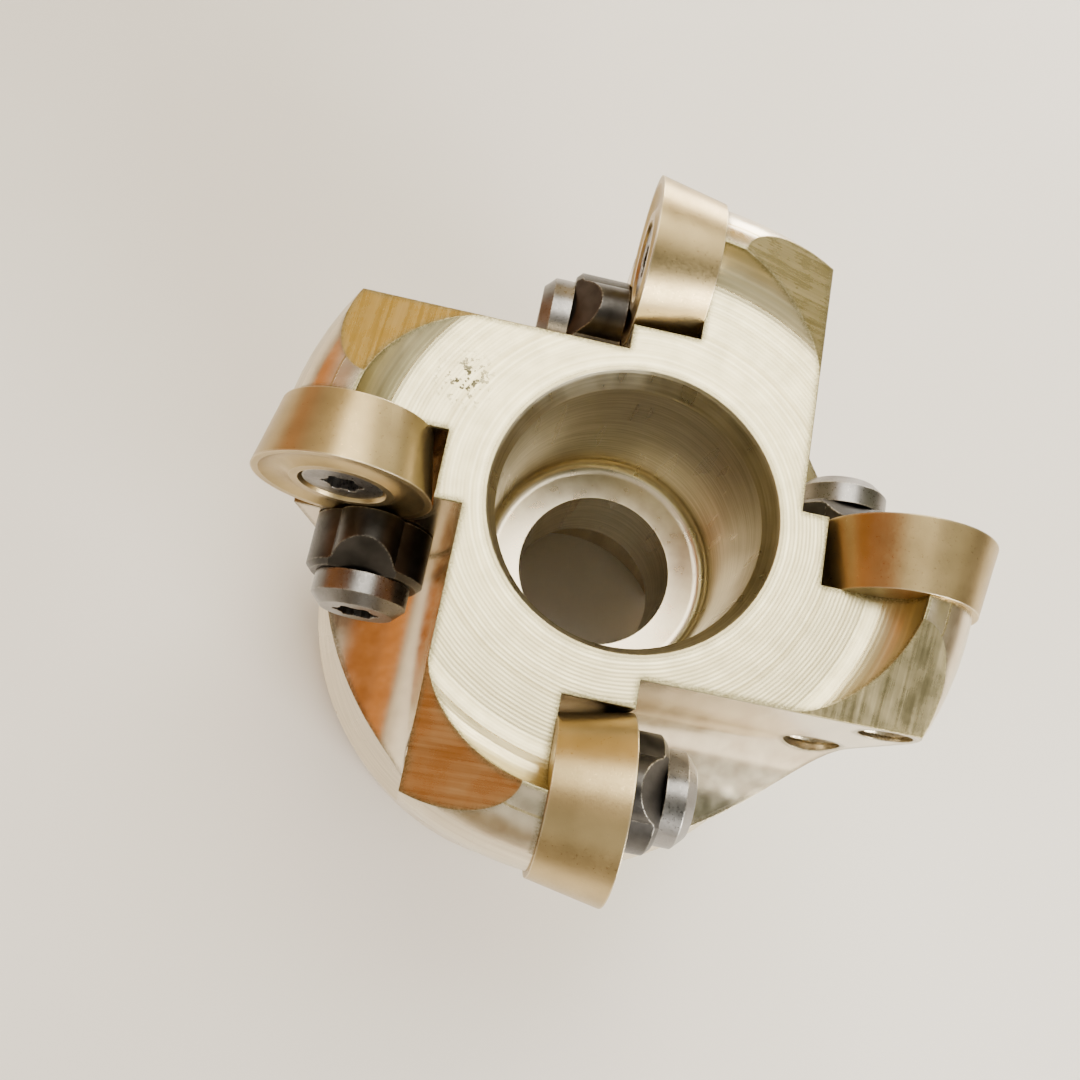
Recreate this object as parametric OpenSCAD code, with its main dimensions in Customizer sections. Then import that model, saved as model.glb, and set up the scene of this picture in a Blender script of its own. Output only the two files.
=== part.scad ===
// Shell-type face mill, right-hand cut, with round inserts held by screws and finger clamps.
// Origin at the centre of the back face, +Z towards the cutting end. Tooth 1 points along +X.
// "Tooth frame" below means: tooth along +X, its seat facing +Y, turned about Z for the others.

/* [Cutter body] */
// Front face height above the back face
front_z = 46; // [45.8:0.1:46.4]
// Radius where the flat front face ends and the teeth rise
front_r = 16.2; // [15.8:0.1:16.6]
// Radius of the blend from the front face up to the tooth crests
rise_r = 2.9; // [2.7:0.1:3]
// Outside radius of the rear collar
collar_r = 23; // [22.6:0.1:23.4]
// Height of the collar's straight side
collar_h = 11; // [9:0.5:12]
// Radius of the waist between collar and teeth
waist_r = 20.1; // [19.9:0.1:20.6]
// Height of the waist
waist_z = 23; // [22:0.5:24]
// Clearance of the body behind the cutting circle of an insert
overhang = 1.2; // [1.1:0.05:1.3]

/* [Teeth] */
// Number of teeth
teeth = 4; // [4:1:4]
// Distance from the cutter's axis to an insert's centre
insert_x = 18.9; // [18.7:0.1:19]
// Height of an insert's centre
insert_z = 44; // [43.8:0.1:44]
// Height of the seat plane in the tooth frame
seat_y = -2.5; // [-2.6:0.05:-2.4]
// Height of the clamp pad in the tooth frame
pad_y = 2.2; // [2.1:0.05:2.22]
// Distance of the gullet wall from the cutter's axis
gullet_x = 11; // [10.8:0.1:11.2]
// Height of the gullet floor
gullet_z = 28.3; // [28:0.1:29]
// Radius between the gullet wall and its floor
gullet_r = 7.7; // [7:0.1:7.8]
// Slope of the facet on the trailing part of each crest
facet_angle = 22; // [21:0.5:23]

/* [Bores] */
// Radius of the arbor bore
arbor_r = 11; // [11:0.5:11]
// Depth of the arbor bore from the back face
arbor_depth = 20; // [18:1:21]
// Radius of the through hole for the arbor screw
through_r = 6; // [5.5:0.5:6.5]
// Radius of the counterbore for the arbor screw's head
head_r = 9; // [9:0.1:9.1]
// Height of the counterbore's floor
head_floor_z = 29; // [28:0.5:30]
// Width of the drive slot across the back
slot_w = 10.4; // [10.2:0.1:10.6]
// Depth of the drive slot
slot_depth = 6.3; // [6:0.1:6.5]

/* [Inserts] */
// Radius of a round insert
insert_r = 6; // [6:0.1:6]
// Thickness of an insert
insert_t = 4.76; // [4.76:0.01:4.76]
// Relief angle of an insert's flank
relief = 11; // [10:0.5:12]
// Radial gap between an insert and the curved pocket wall
pocket_gap = 0.05; // [0.03:0.01:0.08]
// Thread radius of the insert screws
insert_screw_r = 1.7; // [1.65:0.01:1.7]

/* [Clamps] */
// Distance from the cutter's axis to a clamp screw
clamp_x = 16.9; // [16.7:0.1:17]
// Height of a clamp screw
clamp_z = 35.7; // [35.5:0.1:35.8]
// Radius of the round end of a clamp
clamp_r = 4.2; // [4:0.1:4.3]
// Thickness of a clamp
clamp_t = 4; // [3.8:0.1:4.2]
// Reach of the clamp's nose from its screw
clamp_reach = 5.2; // [5:0.1:5.3]
// Thread radius of the clamp screws
clamp_screw_r = 1.95; // [1.9:0.01:1.95]

/* [Hidden] */
$fn = 96;

cut = 60;                                   // longer than any cut into the body
screw_gap = 0.05;                           // radial gap round a screw
nose_r = insert_r - overhang;               // tooth profile behind the insert
od_z = front_z - 3;                         // where the outside cone meets the nose
od_r = insert_x + nose_r;                   // radius at the outside of the teeth
trail_y = -gullet_x;                        // trailing wall of a tooth, in its own frame
pocket_r = insert_r + pocket_gap;
insert_top_y = seat_y + insert_t;
clamp_y = insert_top_y + 0.04;              // underside of a clamp
clamp_top_y = clamp_y + clamp_t;
flare_r = (pow(waist_z - collar_h, 2) / (collar_r - waist_r) + collar_r - waist_r) / 2;
chamfer = 0.8;                              // edge of the back face
lip_h = 0.4;                                // straight lip at the top of the rise
mouth_depth = 1.8;                          // lead-in of the counterbore
mouth_r = head_r + 0.7;
floor_fillet = 1;                           // between the counterbore's wall and its floor

insert_hole_r = 2.1;                        // hole through an insert
head_top_r = 2.7;                           // head of an insert screw
head_drop = 0.2;                            // head below the insert's top face
head_cone_h = 1.3;
insert_screw_len = 11.6;
clamp_screw_len = 14.4;
button_r = 3.4;                             // head of a clamp screw
button_h = 2.3;
thread_pitch = 0.7;
thread_depth = 0.22;
thread_groove = 0.14;                       // depth of the grooves in a tapped hole
thread_span = 3.5;                          // visible thread at the rear mouth of a tapped hole

// Extrudes an outline drawn in X and Z along Y, from y0 up to y1.
module along_y(y0, y1) {
    translate([0, y1, 0]) rotate([90, 0, 0]) linear_extrude(y1 - y0) children();
}

// Places children, made pointing along +Z, so that they point along -Y from a point.
module facing_in(x, y, z) {
    translate([x, y, z]) rotate([90, 0, 0]) children();
}

module on_tooth(n) {
    rotate([0, 0, (n - 1) * 360 / teeth]) children();
}

// Half section of the body before the teeth are cut: radius against height.
module blank_profile() {
    difference() {
        union() {
            difference() {
                square([collar_r, waist_z]);
                translate([waist_r + flare_r, waist_z]) circle(flare_r, $fn = 200);
                translate([collar_r, 0]) rotate(45) square(chamfer * sqrt(2), center = true);
            }
            polygon([[0, waist_z - 1], [waist_r, waist_z - 1], [waist_r, waist_z],
                     [od_r, od_z], [od_r, insert_z], [0, insert_z]]);
            translate([0, insert_z - 1]) square([insert_x, nose_r + 1]);
            translate([insert_x, insert_z]) circle(nose_r);
        }
        translate([0, front_z]) square([front_r, cut]);
        translate([front_r, front_z + rise_r]) circle(rise_r);
        translate([0, front_z + rise_r - lip_h])
            square([front_r + sqrt(pow(rise_r, 2) - pow(lip_h, 2)), cut]);
    }
}

module bores() {
    translate([0, 0, -1]) cylinder(r = arbor_r, h = arbor_depth + 1);
    translate([0, 0, -0.01]) cylinder(r1 = arbor_r + chamfer, r2 = arbor_r, h = chamfer);
    cylinder(r = through_r, h = cut);
    rotate_extrude() {
        translate([0, head_floor_z + floor_fillet]) square([head_r, cut]);
        translate([0, head_floor_z]) square([head_r - floor_fillet, cut]);
        translate([head_r - floor_fillet, head_floor_z + floor_fillet]) circle(floor_fillet);
    }
    translate([0, 0, front_z - mouth_depth])
        cylinder(r1 = head_r, r2 = mouth_r, h = mouth_depth + 0.001);
    translate([-cut / 2, -slot_w / 2, -1]) cube([cut, slot_w, slot_depth + 1]);
}

// Chip gullet in front of a tooth, open at the outside and at the front.
module gullet() {
    along_y(pad_y, cut) difference() {
        translate([gullet_x, gullet_z]) square([cut, cut]);
        difference() {
            translate([gullet_x - 1, gullet_z - 1]) square(gullet_r + 1);
            translate([gullet_x + gullet_r, gullet_z + gullet_r]) circle(gullet_r);
        }
    }
}

// Insert pocket: a round end wall and a flat seat, open at the outside and at the front.
module pocket() {
    along_y(seat_y, cut) {
        translate([insert_x, insert_z]) circle(pocket_r);
        translate([insert_x - pocket_r, insert_z]) square([cut, cut]);
        translate([insert_x, insert_z - pocket_r]) square([cut, cut]);
    }
}

// Sloping facet that lowers the trailing part of a crest to the front face.
module facet() {
    translate([gullet_x - 1, trail_y, front_z]) rotate([facet_angle, 0, 0])
        translate([0, -5, 0]) cube([cut / 2, 5 + 10, 10]);
}

// Hole of radius r along -Z, with thread grooves along the last stretch before z_end.
module tapped_hole(r, z_end) {
    cylinder(r = r, h = z_end + 5);
    rotate_extrude() for (z = [z_end - thread_span : thread_pitch : z_end - thread_pitch])
        polygon([[r - 0.1, z], [r + thread_groove, z + thread_pitch / 2],
                 [r - 0.1, z + thread_pitch * 0.9]]);
}

module tapped_holes() {
    facing_in(insert_x, 0, insert_z) tapped_hole(insert_screw_r + screw_gap, gullet_x);
    facing_in(clamp_x, pad_y + 1, clamp_z) tapped_hole(clamp_screw_r + screw_gap, pad_y + 1 + gullet_x);
}

module cutter_body() {
    color([0.80, 0.74, 0.62]) difference() {
        rotate_extrude($fn = 200) blank_profile();
        bores();
        for (n = [1 : teeth]) on_tooth(n) {
            gullet();
            pocket();
            facet();
            tapped_holes();
        }
    }
}

// Round insert with relief, a screw hole with a countersink and a chip groove.
module insert() {
    groove_mid_r = 4.5;
    groove_lift = 1.3;
    groove_r = 1.65;
    color([0.55, 0.42, 0.22]) difference() {
        cylinder(r1 = insert_r, r2 = insert_r - insert_t * tan(relief), h = insert_t);
        translate([0, 0, -1]) cylinder(r = insert_hole_r, h = insert_t + 2);
        translate([0, 0, -0.01])
            cylinder(r1 = head_top_r + 0.25, r2 = insert_hole_r, h = head_drop + head_cone_h);
        rotate_extrude() translate([groove_mid_r, -groove_lift]) circle(groove_r);
    }
}

// Grooves that stand for a thread, cut from a shank between two depths.
module thread_grooves(r, z0, z1) {
    rotate_extrude() for (z = [z0 : thread_pitch : z1])
        polygon([[r + 0.1, z], [r - thread_depth, z + thread_pitch / 2],
                 [r + 0.1, z + thread_pitch * 0.9]]);
}

// Six-lobed socket, pointing into the screw from z = 0.
module lobed_socket(r, depth) {
    translate([0, 0, -0.1]) linear_extrude(depth + 0.1) {
        circle(r * 0.8);
        for (a = [0 : 60 : 300]) rotate(a) translate([r * 0.75, 0]) circle(r * 0.25, $fn = 24);
    }
}

module insert_screw() {
    color([0.25, 0.24, 0.23]) difference() {
        union() {
            cylinder(r = insert_screw_r, h = insert_screw_len);
            cylinder(r1 = head_top_r, r2 = insert_screw_r, h = head_cone_h);
        }
        lobed_socket(1.4, 1.1);
        thread_grooves(insert_screw_r, 4.8, insert_screw_len - thread_pitch);
    }
}

// Finger clamp: a round pad with a nose that reaches over the insert's edge.
// The outline is drawn with the nose along +Y, before it is stood upright.
module clamp() {
    nose_w = 2.3;
    nose_slope = 42;
    edge = 0.4;
    color([0.22, 0.21, 0.20]) difference() {
        union() {
            cylinder(r = clamp_r, h = clamp_t);
            translate([0, clamp_reach - nose_w, 0]) cylinder(r = nose_w, h = clamp_t);
            linear_extrude(clamp_t)
                polygon([[-clamp_r * 0.9, 1.6], [-nose_w, clamp_reach - nose_w + 0.3],
                         [nose_w, clamp_reach - nose_w + 0.3], [clamp_r * 0.9, 1.6], [0, 0]]);
        }
        translate([0, 0, -1]) cylinder(r = clamp_screw_r + screw_gap, h = clamp_t + 2);
        translate([-10, button_r - 0.4, clamp_t]) rotate([-nose_slope, 0, 0]) cube([20, 10, 10]);
        translate([0, 0, clamp_t]) rotate_extrude()
            polygon([[clamp_r - edge, 0.01], [clamp_r + 0.01, -edge], [9, -edge], [9, 0.01]]);
    }
}

module clamp_screw() {
    seat_gap = 0.02;
    edge = 0.8;
    color([0.20, 0.19, 0.19]) difference() {
        union() {
            cylinder(r = clamp_screw_r, h = clamp_screw_len + button_h);
            cylinder(r = button_r, h = button_h - seat_gap);
        }
        lobed_socket(1.7, 1.4);
        rotate_extrude()
            polygon([[button_r - edge, -0.01], [button_r + 0.01, edge], [9, edge], [9, -0.01]]);
        thread_grooves(clamp_screw_r, button_h + 5, button_h + clamp_screw_len - thread_pitch);
    }
}

module place_insert(n) {
    on_tooth(n) facing_in(insert_x, insert_top_y, insert_z) insert();
}

module place_insert_screw(n) {
    on_tooth(n) facing_in(insert_x, insert_top_y - head_drop, insert_z) insert_screw();
}

module place_clamp(n) {
    on_tooth(n) translate([clamp_x, clamp_y, clamp_z]) mirror([0, 1, 0]) rotate([90, 0, 0]) clamp();
}

module place_clamp_screw(n) {
    on_tooth(n) facing_in(clamp_x, clamp_top_y + button_h, clamp_z) clamp_screw();
}

cutter_body();
place_insert(1);  // insert_1
place_insert(2);  // insert_2
place_insert(3);  // insert_3
place_insert(4);  // insert_4
place_insert_screw(1);  // insert_screw_1
place_insert_screw(2);  // insert_screw_2
place_insert_screw(3);  // insert_screw_3
place_insert_screw(4);  // insert_screw_4
place_clamp(1);  // clamp_1
place_clamp(2);  // clamp_2
place_clamp(3);  // clamp_3
place_clamp(4);  // clamp_4
place_clamp_screw(1);  // clamp_screw_1
place_clamp_screw(2);  // clamp_screw_2
place_clamp_screw(3);  // clamp_screw_3
place_clamp_screw(4);  // clamp_screw_4
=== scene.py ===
"""Looks for a bright nickelled face mill with round inserts, on a plain pale floor."""
import math

import bpy
from mathutils import Euler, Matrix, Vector


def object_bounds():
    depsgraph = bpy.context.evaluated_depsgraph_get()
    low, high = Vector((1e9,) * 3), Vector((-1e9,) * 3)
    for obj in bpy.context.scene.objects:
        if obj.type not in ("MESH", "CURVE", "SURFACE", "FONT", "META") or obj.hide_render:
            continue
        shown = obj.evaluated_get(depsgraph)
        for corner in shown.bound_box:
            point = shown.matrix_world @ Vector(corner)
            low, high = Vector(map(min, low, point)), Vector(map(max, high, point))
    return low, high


MM = 0.001
TEETH = 4

# Camera, in the cutter's own frame.
CAMERA_MM = (9.54, 23.51, 113.85)
CAMERA_TURN_DEG = (15.467, -6.369, -169.164)
LENS_MM = 37.05
SENSOR_MM = 36

# Heights on the cutter body that the finish depends on.
FRONT_Z_MM = 46.0
FRONT_HALF_BAND_MM = 0.2
RISE_Z_MM = FRONT_Z_MM - 0.3
NECK_TOP_MM = 28.0

# Radii on the cutter body that the finish depends on.
BORE_R_MM = 9.9
RISE_R_MM = 19.3
OUTSIDE_R_MM = 19.9

# Slopes, as the cosine between a surface's normal and the axis or the radius.
LEVEL_COS = 0.985
WALL_COS = 0.9
OUTWARD_COS = 0.8
FACET_COS = math.cos(math.radians(22))
FACET_COS_BAND = 0.006

# Marks left by making and use.
RING_PITCH_MM = 0.26
RINGS_PER_MM = 2 * math.pi / RING_PITCH_MM
PITTED_SPOT_MM = (12.6, -6.2, FRONT_Z_MM)
PITTED_REACH_MM = (2.4, 0.6)
BEVEL_SAMPLES = 6

# Colours. A pair is the low and the high end of a pattern.
NICKEL = ((0.66, 0.56, 0.41, 1), (0.82, 0.73, 0.55, 1))
LATHE_NICKEL = ((0.62, 0.54, 0.40, 1), (0.76, 0.68, 0.52, 1))
FRONT_NICKEL = ((0.54, 0.47, 0.27, 1), (0.74, 0.67, 0.42, 1))
FACET_NICKEL = ((0.50, 0.41, 0.22, 1), (0.68, 0.57, 0.33, 1))
# Painted shade: a darker copy of the nickel for the bore's inner wall.
BORE_WALL_SHADE = ((0.48, 0.44, 0.30, 1), (0.68, 0.62, 0.46, 1))
RING_COLOR = (0.50, 0.46, 0.28, 1)
# Painted shade: the near-black line along the cutter body's edges.
PAINTED_EDGE_SHADE = (0.10, 0.085, 0.03, 1)
PIT_COLOR = (0.05, 0.045, 0.025, 1)
CARBIDE = ((0.36, 0.27, 0.13, 1), (0.50, 0.38, 0.19, 1))
HONED_CARBIDE = (0.72, 0.62, 0.42, 1)
CLAMP_STEEL = ((0.035, 0.033, 0.03, 1), (0.085, 0.08, 0.075, 1))
SCREW_STEEL = ((0.16, 0.155, 0.15, 1), (0.27, 0.26, 0.25, 1))
WORN_STEEL = (0.62, 0.58, 0.50, 1)
FLOOR_PAINT = ((0.90, 0.86, 0.79, 1), (0.95, 0.92, 0.86, 1))

# Room: its base colour, and soft patches as (direction, half angle in degrees, colour).
ROOM_COLOR = (0.82, 0.76, 0.64, 1)
ROOM_STRENGTH = 1.1
ROOM_PATCHES = (
    ((1.0, -0.16, 0.0), 48, (0.80, 0.30, 0.08, 1)),
    ((0.67, -0.10, 0.73), 30, (0.55, 0.20, 0.05, 1)),
    ((0.85, 0.45, 0.10), 22, (0.10, 0.07, 0.04, 1)),
    ((0.10, -0.93, 0.35), 36, (0.95, 0.60, 0.12, 1)),
    ((-0.74, -0.51, 0.45), 32, (0.42, 0.38, 0.20, 1)),
    ((-0.36, 0.48, 0.80), 28, (0.10, 0.11, 0.07, 1)),
    ((-0.95, 0.10, 0.05), 34, (0.30, 0.25, 0.18, 1)),
    ((0.30, 0.95, 0.25), 24, (0.40, 0.30, 0.18, 1)),
)
# Share of a patch's half angle that has its full colour.
PATCH_CORE = 0.4

# Lights, as (name, place in mm, width in mm, watts, colour).
LIGHTS = (
    ("key", (-20, -120, 300), 190, 0.8, (1.0, 0.96, 0.86)),
    ("side", (-210, 230, 130), 170, 2.0, (1.0, 0.97, 0.92)),
    ("rim", (-120, -260, 60), 140, 0.9, (1.0, 0.95, 0.88)),
)

# Stage.
DOME_R_M = 2.5
FLOOR_GAP_MM = 0.02
BACKDROP_COLOR = (0.80, 0.76, 0.70, 1)
BACKDROP_STRENGTH = 0.8

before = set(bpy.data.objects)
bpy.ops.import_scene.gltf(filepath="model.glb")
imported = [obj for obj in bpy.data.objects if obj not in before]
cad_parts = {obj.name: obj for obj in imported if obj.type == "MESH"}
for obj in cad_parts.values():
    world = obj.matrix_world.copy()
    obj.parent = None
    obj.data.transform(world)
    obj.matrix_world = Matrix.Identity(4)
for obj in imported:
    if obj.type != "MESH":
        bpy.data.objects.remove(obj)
cad_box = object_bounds()


class Graph:
    """Short calls for building one material's nodes."""

    def __init__(self, name):
        self.material = bpy.data.materials.new(name)
        self.material.use_nodes = True
        self.tree = self.material.node_tree
        self.shader = self.tree.nodes["Principled BSDF"]
        coordinates = self.tree.nodes.new("ShaderNodeTexCoord")
        self.normal = coordinates.outputs["Normal"]
        self.place_mm = self.vector("SCALE", coordinates.outputs["Object"], scale=1 / MM)

    def put(self, socket, value):
        """Links another node's output to the socket, or sets the socket to a plain value."""
        if isinstance(value, bpy.types.NodeSocket):
            self.tree.links.new(value, socket)
        else:
            socket.default_value = value

    def math(self, operation, a, b=0.0, c=0.0, clamp=False):
        node = self.tree.nodes.new("ShaderNodeMath")
        node.operation = operation
        node.use_clamp = clamp
        for socket, value in zip(node.inputs, (a, b, c)):
            self.put(socket, value)
        return node.outputs[0]

    def total(self, first, *others):
        for other in others:
            first = self.math("ADD", first, other)
        return first

    def product(self, first, *others):
        for other in others:
            first = self.math("MULTIPLY", first, other)
        return first

    def inverse(self, mask):
        return self.math("SUBTRACT", 1.0, mask)

    def near(self, value, centre, half_width):
        """1 where value is within half_width of centre."""
        return self.math("COMPARE", value, centre, half_width)

    def vector(self, operation, a, b=None, scale=None):
        node = self.tree.nodes.new("ShaderNodeVectorMath")
        node.operation = operation
        self.put(node.inputs[0], a)
        if b is not None:
            self.put(node.inputs[1], b)
        if scale is not None:
            node.inputs["Scale"].default_value = scale
        scalar = operation in ("LENGTH", "DOT_PRODUCT", "DISTANCE")
        return node.outputs["Value" if scalar else "Vector"]

    def split(self, vector):
        node = self.tree.nodes.new("ShaderNodeSeparateXYZ")
        self.put(node.inputs[0], vector)
        return node.outputs

    def join(self, x, y, z):
        node = self.tree.nodes.new("ShaderNodeCombineXYZ")
        for socket, value in zip(node.inputs, (x, y, z)):
            self.put(socket, value)
        return node.outputs[0]

    def noise(self, vector, scale, detail=2.0, roughness=0.5):
        node = self.tree.nodes.new("ShaderNodeTexNoise")
        self.put(node.inputs["Vector"], vector)
        node.inputs["Scale"].default_value = scale
        node.inputs["Detail"].default_value = detail
        node.inputs["Roughness"].default_value = roughness
        return node.outputs["Fac"]

    def ramp(self, value, low=0.3, high=0.7, to_low=0.0, to_high=1.0):
        """Straight ramp, level outside low and high. The defaults span most of a noise."""
        node = self.tree.nodes.new("ShaderNodeMapRange")
        for name, number in (("Value", value), ("From Min", low), ("From Max", high),
                             ("To Min", to_low), ("To Max", to_high)):
            self.put(node.inputs[name], number)
        return node.outputs[0]

    def blend(self, factor, a, b):
        """Colour a where factor is 0, colour b where it is 1."""
        node = self.tree.nodes.new("ShaderNodeMix")
        node.data_type = "RGBA"
        self.put(node.inputs["Factor"], factor)
        self.put(node.inputs["A"], a)
        self.put(node.inputs["B"], b)
        return node.outputs["Result"]

    def tone(self, pattern, colors, low=0.3, high=0.7):
        """Colour that goes through a pair as the pattern rises from low to high."""
        return self.blend(self.ramp(pattern, low, high), *colors)

    def rounded(self, radius_mm):
        """Normal of the surface with its edges rounded to this radius."""
        node = self.tree.nodes.new("ShaderNodeBevel")
        node.samples = BEVEL_SAMPLES
        node.inputs["Radius"].default_value = radius_mm * MM
        return node.outputs["Normal"]

    def edges(self, radius_mm, mask_mm, start=0.975, full=0.93):
        """Rounds the edges and returns (normal, mask), where the mask is 1 near an edge."""
        geometry = self.tree.nodes.new("ShaderNodeNewGeometry")
        same = self.vector("DOT_PRODUCT", self.rounded(mask_mm), geometry.outputs["Normal"])
        return self.rounded(radius_mm), self.ramp(same, start, full)

    def bump(self, height, depth_mm, normal=None):
        node = self.tree.nodes.new("ShaderNodeBump")
        node.inputs["Strength"].default_value = 1.0
        node.inputs["Distance"].default_value = depth_mm * MM
        self.put(node.inputs["Height"], height)
        if normal is not None:
            self.put(node.inputs["Normal"], normal)
        return node.outputs[0]

    def finish(self, color, roughness, normal, metallic=1.0):
        self.put(self.shader.inputs["Base Color"], color)
        self.put(self.shader.inputs["Roughness"], roughness)
        self.put(self.shader.inputs["Normal"], normal)
        self.shader.inputs["Metallic"].default_value = metallic
        return self.material


def nickel_steel():
    """Bright warm nickel: turned front and outside, brushed facets, glossy gullets, and painted shade
    as a dark line along the edges.
    """
    g = Graph("nickel_steel")
    x, y, z = g.split(g.place_mm)
    nx, ny, nz = g.split(g.normal)
    from_axis = g.join(x, y, 0.0)
    radius = g.vector("LENGTH", from_axis)

    # Masks for the parts of the body: 1 inside, 0 elsewhere.
    above = g.math("GREATER_THAN", z, RISE_Z_MM)
    front = g.product(g.near(z, FRONT_Z_MM, FRONT_HALF_BAND_MM), g.math("GREATER_THAN", nz, LEVEL_COS))
    rise = g.product(above, g.math("LESS_THAN", radius, RISE_R_MM))
    facet = g.product(g.near(nz, FACET_COS, FACET_COS_BAND), above)
    turned = g.math("SUBTRACT", g.math("MAXIMUM", front, rise), facet, clamp=True)
    bore = g.math("LESS_THAN", radius, BORE_R_MM)
    # The bore's inner wall, which gets painted shade.
    shaded_bore_wall = g.product(bore, g.math("LESS_THAN", nz, WALL_COS))
    outward = g.math("DIVIDE", g.vector("DOT_PRODUCT", from_axis, g.normal), radius)
    lathe = g.product(g.math("GREATER_THAN", outward, OUTWARD_COS),
                      g.math("GREATER_THAN", radius, OUTSIDE_R_MM))

    wobble = g.noise(g.place_mm, scale=0.25)
    rings = g.math("SINE", g.product(g.total(radius, g.product(wobble, 0.25)), RINGS_PER_MM))
    ring_tone = g.noise(g.join(radius, 0.0, 0.0), scale=2.2, detail=3.0)
    turns = g.math("SINE", g.product(z, RINGS_PER_MM))

    # Streaks run along the tilt of a facet and along the height of a wall.
    across_x = g.math("GREATER_THAN", g.math("ABSOLUTE", ny), g.math("ABSOLUTE", nx))
    across_y = g.inverse(across_x)
    across = g.total(g.product(x, across_x), g.product(y, across_y))
    along = g.total(g.product(y, across_x), g.product(x, across_y))
    brushed = g.noise(g.join(across, g.product(along, 0.02), 0.0), scale=3.6, detail=3.0, roughness=0.6)
    feed = g.noise(g.join(g.product(x, 0.5), g.product(y, 0.5), g.product(z, 0.06)), scale=1.6)
    band = g.noise(g.join(g.product(z, 0.9), g.product(x, 0.04), g.product(y, 0.04)), scale=5.0)
    grain = g.noise(g.place_mm, scale=7.0, detail=4.0, roughness=0.7)

    pit_near = g.ramp(g.vector("DISTANCE", g.place_mm, PITTED_SPOT_MM), *PITTED_REACH_MM)
    specks = g.ramp(g.noise(g.place_mm, scale=2.6, detail=3.0, roughness=0.6), 0.57, 0.62)
    pits = g.product(pit_near, specks, front)

    # Painted shade: a dark line along the edges at the cutting end, broken up by the grain. There is
    # none in the bore, on the outside or below the gullets.
    edge_normal, edge = g.edges(radius_mm=0.12, mask_mm=0.8, start=0.997, full=0.96)
    below_gullets = g.math("LESS_THAN", z, NECK_TOP_MM)
    plain = g.math("MAXIMUM", g.math("MAXIMUM", bore, lathe), below_gullets)
    edge_wear_and_shade = g.product(edge, g.inverse(plain), g.ramp(grain, 0.38, 0.6, 0.35, 1.0))

    front_color = g.tone(ring_tone, FRONT_NICKEL, 0.35, 0.65)
    front_color = g.blend(g.product(g.ramp(rings, -0.2, 1.0), 0.30), front_color, RING_COLOR)
    color = g.tone(feed, NICKEL)
    color = g.blend(lathe, color, g.tone(band, LATHE_NICKEL))
    color = g.blend(turned, color, front_color)
    color = g.blend(facet, color, g.tone(brushed, FACET_NICKEL))
    # Painted shade on the bore's inner wall, streaked along its height.
    color = g.blend(shaded_bore_wall, color, g.tone(band, BORE_WALL_SHADE))
    # Painted shade along the body's edges.
    color = g.blend(g.product(edge_wear_and_shade, 0.9), color, PAINTED_EDGE_SHADE)
    color = g.blend(pits, color, PIT_COLOR)

    roughness = g.total(
        g.ramp(feed, to_low=0.16, to_high=0.24),
        g.product(turned, 0.14),
        g.product(facet, g.ramp(brushed, to_low=0.04, to_high=0.12)),
        g.product(g.total(bore, lathe), 0.10),
        g.product(edge_wear_and_shade, 0.2),
    )
    height = g.total(
        g.product(rings, turned, 0.5),
        g.product(brushed, facet, 1.6),
        g.product(band, bore, 1.2),
        g.product(g.total(g.product(turns, 0.4), band), lathe),
        g.product(grain, 0.5),
        g.product(pits, -3.0),
    )
    return g.finish(color, roughness, g.bump(height, depth_mm=0.004, normal=edge_normal))


def coated_carbide():
    """Ground carbide under a thin gold-brown coating, paler where the edge is honed."""
    g = Graph("coated_carbide")
    grain = g.noise(g.place_mm, scale=6.0, detail=4.0, roughness=0.7)
    cloud = g.noise(g.place_mm, scale=0.35)
    edge_normal, edge = g.edges(radius_mm=0.08, mask_mm=0.22)
    color = g.blend(g.product(edge, 0.7), g.tone(cloud, CARBIDE), HONED_CARBIDE)
    roughness = g.ramp(grain, to_low=0.26, to_high=0.40)
    return g.finish(color, roughness, g.bump(grain, depth_mm=0.003, normal=edge_normal))


def dark_steel(name, colors, smoothest, wear):
    """Blackened or oiled steel: fine grain, cloudy sheen and brighter worn edges."""
    g = Graph(name)
    grain = g.noise(g.place_mm, scale=5.0, detail=4.0, roughness=0.7)
    cloud = g.noise(g.place_mm, scale=0.5)
    edge_normal, edge = g.edges(radius_mm=0.10, mask_mm=0.25)
    # Real wear: brighter bare steel along the edges.
    edge_wear_and_shade = g.product(edge, g.ramp(grain, 0.4, 0.6))
    color = g.blend(g.product(edge_wear_and_shade, wear), g.tone(cloud, colors), WORN_STEEL)
    roughness = g.ramp(grain, to_low=smoothest, to_high=smoothest + 0.15)
    return g.finish(color, roughness, g.bump(grain, depth_mm=0.006, normal=edge_normal))


def dress():
    """Gives every CAD node the finish of its kind."""
    finishes = {"cutter_body": nickel_steel()}
    carbide = coated_carbide()
    clamp = dark_steel("clamp_steel", CLAMP_STEEL, smoothest=0.30, wear=0.55)
    screw = dark_steel("screw_steel", SCREW_STEEL, smoothest=0.24, wear=0.7)
    for tooth in range(1, TEETH + 1):
        finishes[f"insert_{tooth}"] = carbide
        finishes[f"insert_screw_{tooth}"] = screw
        finishes[f"clamp_{tooth}"] = clamp
        finishes[f"clamp_screw_{tooth}"] = screw
    for node, finish in finishes.items():
        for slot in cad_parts[node].material_slots:
            slot.material = finish


def floor():
    """Plain pale floor under the cutter."""
    height = cad_box[0][2] - FLOOR_GAP_MM * MM
    bpy.ops.mesh.primitive_plane_add(size=2 * DOME_R_M, location=(0, 0, height))
    plane = bpy.context.object
    plane.name = "floor"
    g = Graph("floor")
    cloud = g.noise(g.place_mm, scale=0.02)
    color = g.tone(cloud, FLOOR_PAINT)
    plane.data.materials.append(g.finish(color, 0.7, g.bump(cloud, depth_mm=0.01), metallic=0.0))


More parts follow.
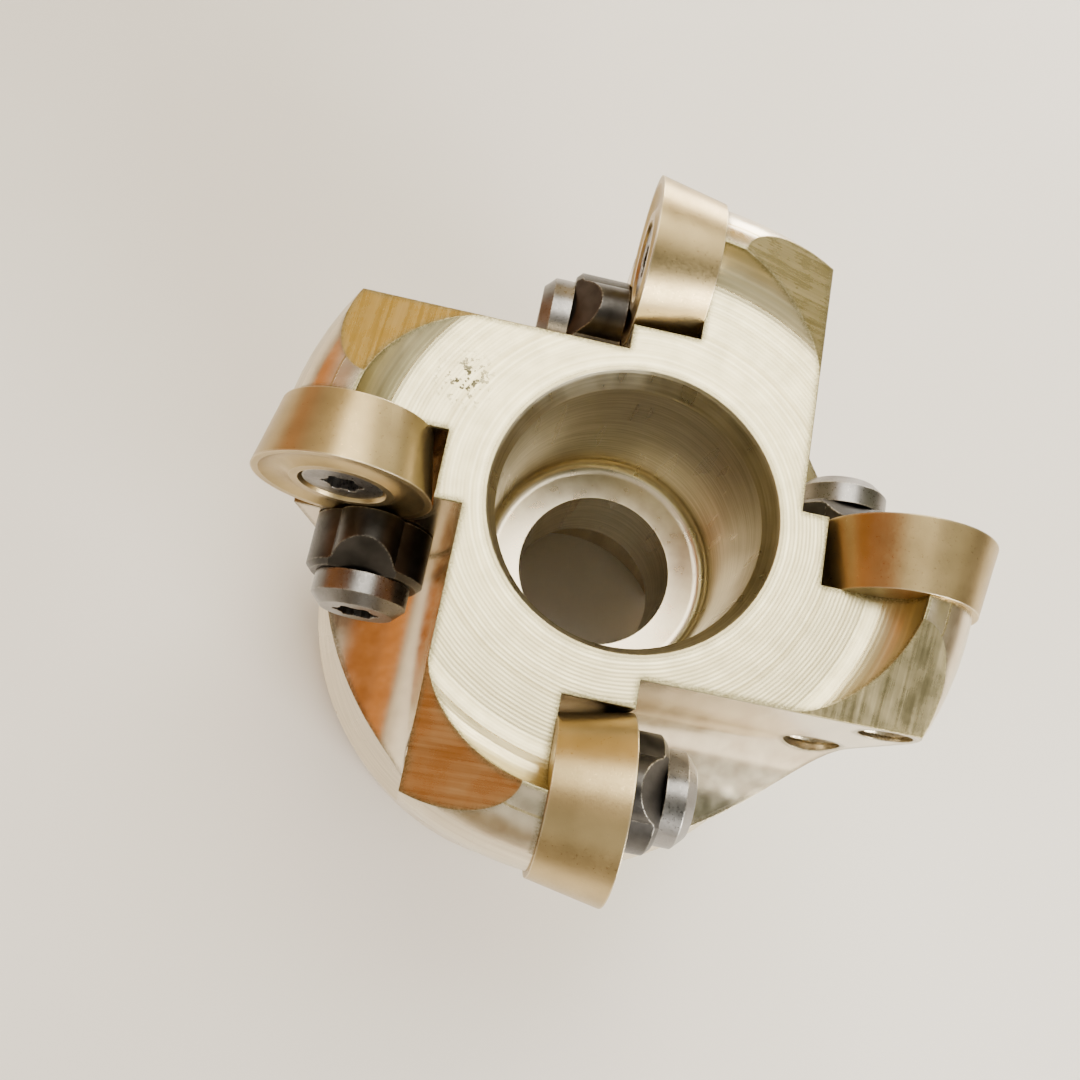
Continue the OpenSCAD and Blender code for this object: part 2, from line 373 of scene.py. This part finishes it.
def backdrop():
    """Pale dome behind the floor's edge, which the metal's reflections pass through."""
    bpy.ops.mesh.primitive_uv_sphere_add(segments=96, ring_count=48, radius=DOME_R_M)
    dome = bpy.context.object
    dome.name = "backdrop"
    dome.visible_glossy = False
    dome.visible_diffuse = False
    dome.visible_transmission = False
    dome.visible_shadow = False
    material = bpy.data.materials.new("backdrop")
    material.use_nodes = True
    shader = material.node_tree.nodes["Principled BSDF"]
    shader.inputs["Base Color"].default_value = (0.0, 0.0, 0.0, 1)
    shader.inputs["Specular IOR Level"].default_value = 0.0
    shader.inputs["Emission Color"].default_value = BACKDROP_COLOR
    shader.inputs["Emission Strength"].default_value = BACKDROP_STRENGTH
    dome.data.materials.append(material)


def surroundings():
    """Warm room for the metal to reflect: cream, with soft orange, gold, olive and dark patches."""
    world = bpy.data.worlds.new("room")
    bpy.context.scene.world = world
    world.use_nodes = True
    tree = world.node_tree
    coordinates = tree.nodes.new("ShaderNodeTexCoord")
    background = tree.nodes["Background"]
    background.inputs["Strength"].default_value = ROOM_STRENGTH
    room = None
    for direction, half_angle, color in ROOM_PATCHES:
        dot = tree.nodes.new("ShaderNodeVectorMath")
        dot.operation = "DOT_PRODUCT"
        tree.links.new(coordinates.outputs["Generated"], dot.inputs[0])
        dot.inputs[1].default_value = Vector(direction).normalized()
        edge = tree.nodes.new("ShaderNodeMapRange")
        edge.interpolation_type = "SMOOTHSTEP"
        edge.inputs["From Min"].default_value = math.cos(math.radians(half_angle))
        edge.inputs["From Max"].default_value = math.cos(math.radians(half_angle * PATCH_CORE))
        tree.links.new(dot.outputs["Value"], edge.inputs["Value"])
        mix = tree.nodes.new("ShaderNodeMix")
        mix.data_type = "RGBA"
        tree.links.new(edge.outputs[0], mix.inputs["Factor"])
        mix.inputs["A"].default_value = ROOM_COLOR
        mix.inputs["B"].default_value = color
        if room:
            tree.links.new(room, mix.inputs["A"])
        room = mix.outputs["Result"]
    tree.links.new(room, background.inputs["Color"])


def lights():
    """Soft lights that face the frame's origin, in the middle of the cutter's back face."""
    for name, place_mm, width_mm, watts, color in LIGHTS:
        data = bpy.data.lights.new(name, "AREA")
        data.size = width_mm * MM
        data.energy = watts
        data.color = color
        light = bpy.data.objects.new(name, data)
        light.location = [value * MM for value in place_mm]
        light.rotation_euler = (-light.location).to_track_quat("-Z", "Y").to_euler()
        bpy.context.scene.collection.objects.link(light)


def camera():
    """View from above and a little to one side of the cutting end."""
    data = bpy.data.cameras.new("camera")
    data.lens = LENS_MM
    data.sensor_width = SENSOR_MM
    data.clip_start = MM
    eye = bpy.data.objects.new("camera", data)
    eye.location = [value * MM for value in CAMERA_MM]
    eye.rotation_euler = Euler([math.radians(angle) for angle in CAMERA_TURN_DEG])
    bpy.context.scene.collection.objects.link(eye)
    bpy.context.scene.camera = eye


camera()
surroundings()
lights()
floor()
backdrop()
dress()
